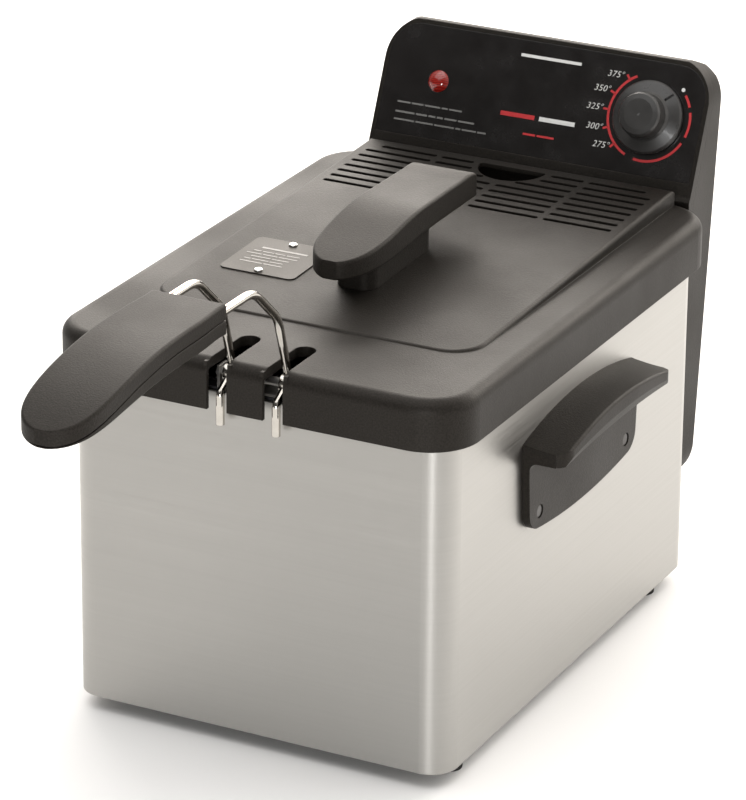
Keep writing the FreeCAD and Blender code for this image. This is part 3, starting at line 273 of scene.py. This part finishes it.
def red_lens(name):
    """Clear red moulded lens with a faint ribbed inside."""
    n = Nodes(name)
    ribs = n.add("ShaderNodeTexWave", wave_type="RINGS", rings_direction="SPHERICAL")
    ribs.inputs["Scale"].default_value = 260.0
    n.link(n.coordinates, "Object", ribs, "Vector")
    tint = n.ramp(ribs, "Fac", (0.26, 0.009, 0.006), (0.46, 0.024, 0.016), 0.2, 0.8)
    n.link(tint, "Color", n.shader, "Base Color")
    mottle = n.noise(500.0, 2.0, 0.5)
    rough = n.span(mottle, "Fac", 0.08, 0.2)
    n.link(rough, "Result", n.shader, "Roughness")
    n.set(Transmission_Weight=0.25, Coat_Weight=0.6, IOR=1.49)
    return n.material


def print_ink(name, colour):
    """Screen-printed ink: very thin, slightly uneven in its coverage."""
    n = Nodes(name)
    cover = n.noise(1600.0, 3.0, 0.6)
    tint = n.ramp(cover, "Fac", shade(colour, 0.82), shade(colour, 1.05), 0.25, 0.75)
    n.link(tint, "Color", n.shader, "Base Color")
    rough = n.span(cover, "Fac", 0.35, 0.55)
    n.link(rough, "Result", n.shader, "Roughness")
    return n.material


STEEL = (0.405, 0.397, 0.379)
WARM_GREY = (0.0095, 0.0082, 0.0068)

made = {
    "brushed_steel_panel": brushed_steel("m_brushed_steel_panel", STEEL),
    "pot_enamel": coated_pot("m_pot_coating"),
    "dark_plastic": textured_plastic("m_dark_plastic", WARM_GREY),
    "black_plastic": textured_plastic("m_black_plastic", (0.022, 0.021, 0.02), 0.42, 900.0),
    "face_gloss": gloss_plastic("m_face_gloss", (0.0105, 0.0092, 0.0088), 0.22, 0.0),
    "chrome_wire": polished_metal("m_chrome_wire", (0.52, 0.495, 0.455), 0.11),
    "wire_mesh": polished_metal("m_wire_mesh", (0.72, 0.7, 0.67), 0.2),
    "bright_steel": brushed_steel(
        "m_bright_steel", (0.32, 0.31, 0.295), 0.38, (40.0, 400.0, 400.0), 0.0004),
    "element_metal": brushed_steel(
        "m_element_metal", (0.2, 0.19, 0.18), 0.42, (300.0, 300.0, 300.0), 0.0004),
    "zinc_screw": polished_metal("m_zinc_screw", (0.56, 0.56, 0.55), 0.28),
    "dark_rivet": gloss_plastic("m_dark_rivet", (0.03, 0.027, 0.025), 0.34, 0.0),
    "foot_rubber": textured_plastic("m_foot_rubber", (0.02, 0.02, 0.02), 0.75, 1100.0),
    "knob_plastic": gloss_plastic("m_knob_plastic", (0.03, 0.029, 0.028), 0.3, 0.1),
    "lens_red": red_lens("m_lens_red"),
    "lamp_white": gloss_plastic("m_lamp_white", (0.75, 0.72, 0.66), 0.3, 0.1),
    "filter_felt": felt("m_filter_felt", (0.3, 0.28, 0.25)),
    "label_metal": textured_plastic(
        "m_label_plate", (0.03, 0.0265, 0.022), 0.42, 2200.0, 0.00003, 0.0003),
    "rivet_bright": polished_metal("m_rivet_bright", (0.86, 0.85, 0.83), 0.22),
    "reset_red": textured_plastic("m_reset_red", (0.35, 0.012, 0.012), 0.4, 1500.0),
    "brass_pin": polished_metal("m_brass_pin", (0.72, 0.56, 0.3), 0.2),
}
INK_WHITE = print_ink("m_ink_white", (0.75, 0.75, 0.73))
INK_RED = print_ink("m_ink_red", (0.55, 0.03, 0.035))
INK_PALE = print_ink("m_ink_pale", (0.2, 0.198, 0.19))
INK_ETCHED = print_ink("m_ink_etched", (0.25, 0.24, 0.225))

for entry in frame["record"]["subparts"]:
    mesh = nodes[entry["node"]].data
    mesh.materials.clear()
    mesh.materials.append(made[entry["material_slot"]])


# ---- mesh pieces ---------------------------------------------------------------

def new_piece(name, mesh_data, material, body):
    obj = bpy.data.objects.new(name, mesh_data)
    bpy.context.scene.collection.objects.link(obj)
    mesh_data.materials.append(material)
    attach(obj, body)
    return obj


def tube_mesh(name, paths, radius, sides=6):
    """One mesh of round wires along lists of points; a path that ends on its start is closed."""
    mesh = bpy.data.meshes.new(name)
    verts, faces = [], []
    for path in paths:
        closed = (path[0] - path[-1]).length < 1e-7
        points = path[:-1] if closed else path
        count = len(points)
        rings = []
        for i, p in enumerate(points):
            before = points[i - 1] if (closed or i > 0) else p
            after = points[(i + 1) % count] if (closed or i < count - 1) else p
            along = (after - before).normalized()
            steady = Vector((1, 0, 0)) if abs(along.z) > 0.9 else Vector((0, 0, 1))
            side = along.cross(steady).normalized()
            other = along.cross(side).normalized()
            ring = []
            for k in range(sides):
                angle = 2 * math.pi * k / sides
                verts.append(p + (side * math.cos(angle) + other * math.sin(angle)) * radius)
                ring.append(len(verts) - 1)
            rings.append(ring)
        spans = count if closed else count - 1
        for i in range(spans):
            a, b = rings[i], rings[(i + 1) % count]
            for k in range(sides):
                faces.append((a[k], a[(k + 1) % sides], b[(k + 1) % sides], b[k]))
        if not closed:
            faces.append(tuple(reversed(rings[0])))
            faces.append(tuple(rings[-1]))
    mesh.from_pydata([tuple(v) for v in verts], [], faces)
    mesh.polygons.foreach_set("use_smooth", [True] * len(mesh.polygons))
    mesh.update()
    return mesh


# ---- wire mesh of the basket ---------------------------------------------------

def rounded_plan(half_x, half_y, corner, mid, spacing):
    """Points round a rounded rectangle, evenly spaced, as (x, y)."""
    run_x, run_y = half_x - corner, half_y - corner
    arc = math.pi / 2 * corner
    total = 4 * (run_x + run_y) + 4 * arc
    count = 2 * round(total / spacing / 2)
    pieces = [
        (2 * run_x, lambda s: (-run_x + s, -half_y)),
        (arc, lambda s: (run_x + corner * math.sin(s / corner), -run_y - corner * math.cos(s / corner))),
        (2 * run_y, lambda s: (half_x, -run_y + s)),
        (arc, lambda s: (run_x + corner * math.cos(s / corner), run_y + corner * math.sin(s / corner))),
        (2 * run_x, lambda s: (run_x - s, half_y)),
        (arc, lambda s: (-run_x - corner * math.sin(s / corner), run_y + corner * math.cos(s / corner))),
        (2 * run_y, lambda s: (-half_x, run_y - s)),
        (arc, lambda s: (-run_x - corner * math.cos(s / corner), -run_y - corner * math.sin(s / corner))),
    ]
    found = []
    for i in range(count):
        s = total * i / count
        for length, at in pieces:
            if s <= length:
                x, y = at(s)
                found.append((mid.x + x, mid.y + y))
                break
            s -= length
    return found


def woven_basket():
    """Woven wires: rings round the sides, uprights, and a crossing floor."""
    low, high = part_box("basket_mesh")
    mid = (low + high) / 2
    wire = 0.55 * MM
    weave = 0.5 * MM
    pitch = 6.4 * MM
    half_x = (high.x - low.x) / 2 - 1.2 * MM
    half_y = (high.y - low.y) / 2 - 1.2 * MM
    corner = 22.8 * MM
    floor_z = low.z + 1.2 * MM
    round_r = 9.0 * MM
    top_z = high.z - 0.4 * MM
    plan = rounded_plan(half_x, half_y, corner, mid, pitch)
    inward = []
    for i, (x, y) in enumerate(plan):
        ax, ay = plan[i - 1]
        bx, by = plan[(i + 1) % len(plan)]
        tangent = Vector((bx - ax, by - ay, 0)).normalized()
        inward.append(Vector((-tangent.y, tangent.x, 0)))
    levels = []
    z = floor_z + round_r
    while z < top_z:
        levels.append(z)
        z += pitch
    paths = []
    for row, z in enumerate(levels):
        ring = [
            Vector((x, y, z)) + inward[i] * (weave if (i + row) % 2 else -weave)
            for i, (x, y) in enumerate(plan)
        ]
        paths.append(ring + ring[:1])
    for i, (x, y) in enumerate(plan):
        upright = []
        for step in range(4):
            angle = math.pi / 2 * step / 4
            foot = Vector((x, y, floor_z + round_r - round_r * math.cos(angle)))
            upright.append(foot + inward[i] * (round_r - round_r * math.sin(angle)))
        for row, z in enumerate(levels):
            upright.append(Vector((x, y, z)) + inward[i] * (-weave if (i + row) % 2 else weave))
        paths.append(upright)
    paths += floor_wires(mid, half_x - round_r, half_y - round_r, corner - round_r, floor_z, pitch, weave)
    return tube_mesh("basket_weave", paths, wire, 5)


def floor_wires(mid, half_x, half_y, corner, z, pitch, weave):
    """Crossing wires of the basket's floor, each cut to the rounded outline."""
    paths = []
    for axis, own, other in ((0, half_x, half_y), (1, half_y, half_x)):
        count = int(own * 2 / pitch)
        for line in range(count + 1):
            u = -own + 2 * own * (line + 0.5) / (count + 1)
            cut = max(0.0, abs(u) - (own - corner))
            reach = other - corner + math.sqrt(max(0.0, corner ** 2 - cut ** 2))
            steps = max(2, int(2 * reach / pitch))
            path = []
            for k in range(steps + 1):
                v = -reach + 2 * reach * k / steps
                lift = weave * (1 if (line + k + axis) % 2 else -1)
                x, y = (u, v) if axis == 0 else (v, u)
                path.append(Vector((mid.x + x, mid.y + y, z + lift)))
            paths.append(path)
    return paths


basket = new_piece("basket_weave", woven_basket(), made["wire_mesh"], "basket")
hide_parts("basket_mesh")


# ---- printing on the face plate ------------------------------------------------

INK = 0.08 * MM


def on_face(x, h, lift=INK):
    """A point on the face plate: x and h are millimetres from the dial's middle."""
    return DIAL + ACROSS * (x * MM) + UP_SLOPE * (h * MM) + OUT * lift


def find_dial():
    """Where the spindle's axis meets the outer face of the face plate."""
    spindle = middle("dial_spindle")
    plate = nodes["control_face_plate"].data
    reach = max(OUT.dot(v.co) for v in plate.vertices)
    return spindle + OUT * (reach - OUT.dot(spindle))


DIAL = find_dial()


def flat_strip(name, rows, material):
    """A thin printed shape from rows of (inner, outer) point pairs."""
    mesh = bpy.data.meshes.new(name)
    verts, faces = [], []
    for inner, outer in rows:
        verts += [tuple(inner), tuple(outer)]
    for i in range(len(rows) - 1):
        a = 2 * i
        faces.append((a, a + 1, a + 3, a + 2))
    mesh.from_pydata(verts, [], faces)
    mesh.update()
    obj = new_piece(name, mesh, material, "control")
    solid = obj.modifiers.new("ink", "SOLIDIFY")
    solid.thickness = 0.05 * MM
    solid.offset = 0
    return obj


def arc_band(name, radius, width, start, end, material):
    steps = max(4, int(abs(end - start) / 4))
    rows = []
    for i in range(steps + 1):
        angle = math.radians(start + (end - start) * i / steps)
        pair = []
        for r in (radius - width / 2, radius + width / 2):
            pair.append(on_face(r * math.cos(angle), r * math.sin(angle)))
        rows.append(pair)
    return flat_strip(name, rows, material)


def tick(name, angle_deg, r0, r1, width, material):
    angle = math.radians(angle_deg)
    across = Vector((-math.sin(angle), math.cos(angle)))
    rows = []
    for r in (r0, r1):
        x, h = r * math.cos(angle), r * math.sin(angle)
        rows.append([
            on_face(x - across.x * width / 2, h - across.y * width / 2),
            on_face(x + across.x * width / 2, h + across.y * width / 2),
        ])
    return flat_strip(name, rows, material)


RING = 25.6
for number, (start, end) in enumerate(((118, 246), (259, 333), (342, 375), (382, 399))):
    arc_band(f"dial_arc_{number}", RING, 1.5, start, end, INK_RED)

TICKS = ((129, 375), (156, 350), (178, 325), (-159, 300), (-135, 275))
NUMBER_PLACES = ((-25.6, 21.7), (-32.3, 12.4), (-34.9, 1.3), (-32.9, -10.2), (-26.6, -20.2))


def face_text(name, text, x, h, size, material, body="control"):
    curve = bpy.data.curves.new(name, "FONT")
    curve.body = text
    curve.size = size * MM
    curve.align_x = "CENTER"
    curve.align_y = "CENTER"
    curve.extrude = 0.03 * MM
    curve.offset = -0.04 * MM
    curve.space_character = 1.06
    curve.shear = 0.22
    obj = bpy.data.objects.new(name, curve)
    bpy.context.scene.collection.objects.link(obj)
    obj.matrix_world = Matrix.Translation(on_face(x, h)) @ Matrix((
        (ACROSS.x, UP_SLOPE.x, OUT.x, 0), (ACROSS.y, UP_SLOPE.y, OUT.y, 0),
        (ACROSS.z, UP_SLOPE.z, OUT.z, 0), (0, 0, 0, 1)))
    curve.materials.append(material)
    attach(obj, body)
    return obj


for (angle, label), (x, h) in zip(TICKS, NUMBER_PLACES):
    tick(f"dial_tick_{label}", angle, RING, 29.2, 1.3, INK_RED)
    face_text(f"dial_number_{label}", f"{label}°", x, h, 5.3, INK_WHITE)


def disc(name, x, h, radius, material):
    rows = []
    for i in range(13):
        angle = math.pi * i / 12
        rows.append([
            on_face(x + radius * math.cos(angle), h - radius * math.sin(angle)),
            on_face(x + radius * math.cos(angle), h + radius * math.sin(angle)),
        ])
    return flat_strip(name, rows, material)


disc("dial_off_mark", 17.9, 19.0, 1.2, INK_WHITE)


# ---- blank bars in place of lettering ------------------------------------------

def bar_lines(name, place, rows, material, body):
    """Dashes like words in one mesh; a row is (start x, height, bar height, word lengths)."""
    mesh = bpy.data.meshes.new(name)
    verts, faces = [], []
    for start, middle_h, tall, words in rows:
        x = start
        for word in words:
            first = len(verts)
            for dx, dh in ((0, -0.5), (word, -0.5), (word, 0.5), (0, 0.5)):
                verts.append(tuple(place(x + dx, middle_h + dh * tall)))
            faces.append((first, first + 1, first + 2, first + 3))
            x += word + 0.55 * tall + 0.35
    mesh.from_pydata(verts, [], faces)
    mesh.update()
    obj = new_piece(name, mesh, material, body)
    solid = obj.modifiers.new("ink", "SOLIDIFY")
    solid.thickness = 0.05 * MM
    solid.offset = 0
    return obj


bar_lines("panel_notice_bars", on_face, (
    (-160.3, -15.0, 1.0, (8.6, 7.8, 10.2, 4.0, 8.4)),
    (-160.4, -20.9, 1.1, (12.6, 7.4, 4.6, 4.0, 8.0, 10.6)),
    (-160.5, -25.5, 1.0, (13.4, 11.6, 13.0, 3.4, 9.2, 5.6)),
), INK_PALE, "control")
bar_lines("panel_title_bar", on_face, (
    (-87.0, 24.1, 1.8, (39.0,)),
    (-68.0, -11.5, 2.6, (23.0,)),
), INK_WHITE, "control")
bar_lines("panel_title_accent", on_face, (
    (-93.0, -11.5, 2.6, (22.0,)),
    (-76.4, -21.6, 1.2, (8.0, 11.0)),
), INK_RED, "control")

PLATE_LOW, PLATE_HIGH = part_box("cover_plate")
PLATE_SLOPE = 0.0302  # rise of the label plate per unit of length towards the rear


def on_plate(x, h, lift=INK):
    """A point on the label plate: millimetres from its middle, h towards the rear."""
    centre = (PLATE_LOW + PLATE_HIGH) / 2
    y = centre.y + h * MM
    z = PLATE_HIGH.z - PLATE_SLOPE * (PLATE_HIGH.y - y) + lift
    return Vector((centre.x + x * MM, y, z))


bar_lines("cover_notice_bars", on_plate, (
    (-14.0, 10.2, 2.0, (28.5,)),
    (-16.5, 5.0, 1.1, (4.6, 7.0, 6.2, 8.0)),
    (-19.0, 1.0, 1.1, (9.4, 9.0, 11.6)),
    (-14.0, -3.0, 1.1, (12.0, 10.6)),
    (-16.5, -7.0, 1.1, (4.2, 10.2, 8.0)),
    (-17.0, -11.0, 1.1, (14.0, 11.6)),
), INK_ETCHED, "cover")


# ---- small ring that shows through the steam port ------------------------------

PORT_RING_X = -7.1 * MM
PORT_RING_Z = 224.4 * MM
PORT_RING_RADIUS = 3.5 * MM
PORT_RING_WIRE = 0.45 * MM
REAR_WALL = 2.9 * MM  # from the cover's rear outside to the ring's plane


def port_ring():
    """Bright ring round a stud on the cover's rear wall, seen through the port."""
    inner_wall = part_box("cover_shell")[1].y - REAR_WALL
    centre = Vector((PORT_RING_X, inner_wall, PORT_RING_Z))
    points = []
    for i in range(25):
        angle = 2 * math.pi * i / 24
        points.append(centre + Vector((math.cos(angle), 0, math.sin(angle))) * PORT_RING_RADIUS)
    ring = tube_mesh("port_ring", [points], PORT_RING_WIRE, 8)
    return new_piece("port_ring", ring, made["brass_pin"], "cover")


port_ring()


# ---- floor, light and camera ---------------------------------------------------

def floor():
    mesh = bpy.data.meshes.new("floor")
    half = 9.0
    corners = [(-half, -half, 0), (half, -half, 0), (half, half, 0), (-half, half, 0)]
    mesh.from_pydata(corners, [], [(0, 1, 2, 3)])
    obj = bpy.data.objects.new("floor", mesh)
    bpy.context.scene.collection.objects.link(obj)
    n = Nodes("m_floor")
    cloud = n.noise(3.0, 3.0, 0.5)
    tint = n.ramp(cloud, "Fac", (0.88, 0.88, 0.88), (0.91, 0.91, 0.91), 0.3, 0.7)
    n.link(tint, "Color", n.shader, "Base Color")
    n.set(Roughness=0.85)
    mesh.materials.append(n.material)


def area_light(name, place, target, size, power, colour=(1, 1, 1)):
    light = bpy.data.lights.new(name, "AREA")
    light.shape = "RECTANGLE"
    light.size, light.size_y = size
    light.energy = power
    light.color = colour
    obj = bpy.data.objects.new(name, light)
    obj.location = place
    aim = Vector(target) - Vector(place)
    obj.rotation_euler = aim.to_track_quat("-Z", "Y").to_euler()
    bpy.context.scene.collection.objects.link(obj)
    return obj


def world():
    scene_world = bpy.data.worlds.new("studio")
    bpy.context.scene.world = scene_world
    scene_world.use_nodes = True
    tree = scene_world.node_tree
    background = tree.nodes["Background"]
    direction = tree.nodes.new("ShaderNodeTexCoord")
    facing = tree.nodes.new("ShaderNodeVectorMath")
    facing.operation = "DOT_PRODUCT"
    facing.inputs[1].default_value = (0.25, 0.87, 0.42)
    tree.links.new(direction.outputs["Generated"], facing.inputs[0])
    glow = tree.nodes.new("ShaderNodeMapRange")
    glow.interpolation_type = "SMOOTHSTEP"
    glow.inputs["From Min"].default_value = -0.5
    glow.inputs["From Max"].default_value = 0.8
    glow.inputs["To Min"].default_value = 0.1
    glow.inputs["To Max"].default_value = 1.3
    tree.links.new(facing.outputs["Value"], glow.inputs["Value"])
    tree.links.new(glow.outputs["Result"], background.inputs["Strength"])
    background.inputs["Color"].default_value = (1.0, 0.962, 0.915, 1)


def camera():
    """A long lens from the front right, above the fryer."""
    place = Vector((1.06065, HOUSING_MID.y - 2.10910, 1.12236))
    yaw, pitch, roll = 0.47206, 0.39121, 0.008055
    level = math.cos(pitch)
    forward = Vector((-math.sin(yaw) * level, math.cos(yaw) * level, -math.sin(pitch)))
    right = forward.cross(Vector((0, 0, 1))).normalized()
    up = right.cross(forward)
    right_rolled = right * math.cos(roll) + up * math.sin(roll)
    up_rolled = up * math.cos(roll) - right * math.sin(roll)
    data = bpy.data.cameras.new("camera")
    data.sensor_width = 36.0
    data.lens = 204.20235
    data.shift_x = 0.00827875
    data.shift_y = -0.003165
    data.clip_end = 50.0
    obj = bpy.data.objects.new("camera", data)
    obj.matrix_world = Matrix.Translation(place) @ Matrix((
        (right_rolled.x, up_rolled.x, -forward.x, 0), (right_rolled.y, up_rolled.y, -forward.y, 0),
        (right_rolled.z, up_rolled.z, -forward.z, 0), (0, 0, 0, 1)))
    bpy.context.scene.collection.objects.link(obj)
    bpy.context.scene.camera = obj


floor()
world()
camera()
area_light("top", (-0.4, -0.6, 2.4), (0, -0.1, 0.1), (2.8, 2.8), 37)
area_light("side", (2.3, 1.3, 0.9), (0, 0, 0.1), (1.4, 1.4), 7)
area_light("back", (-1.1, 2.2, 1.15), (0, 0, 0.2), (2.4, 1.1), 54, (1.0, 0.94, 0.87))
area_light("back_right", (0.8, 2.2, 1.38), (0, 0, 0.2), (1.3, 1.0), 33, (1.0, 0.94, 0.87))
area_light("corner", (0.75, -2.3, 0.42), (0, 0, 0.1), (0.4, 0.8), 19)

scene = bpy.context.scene
scene.view_settings.view_transform = "Standard"
scene.view_settings.look = "None"
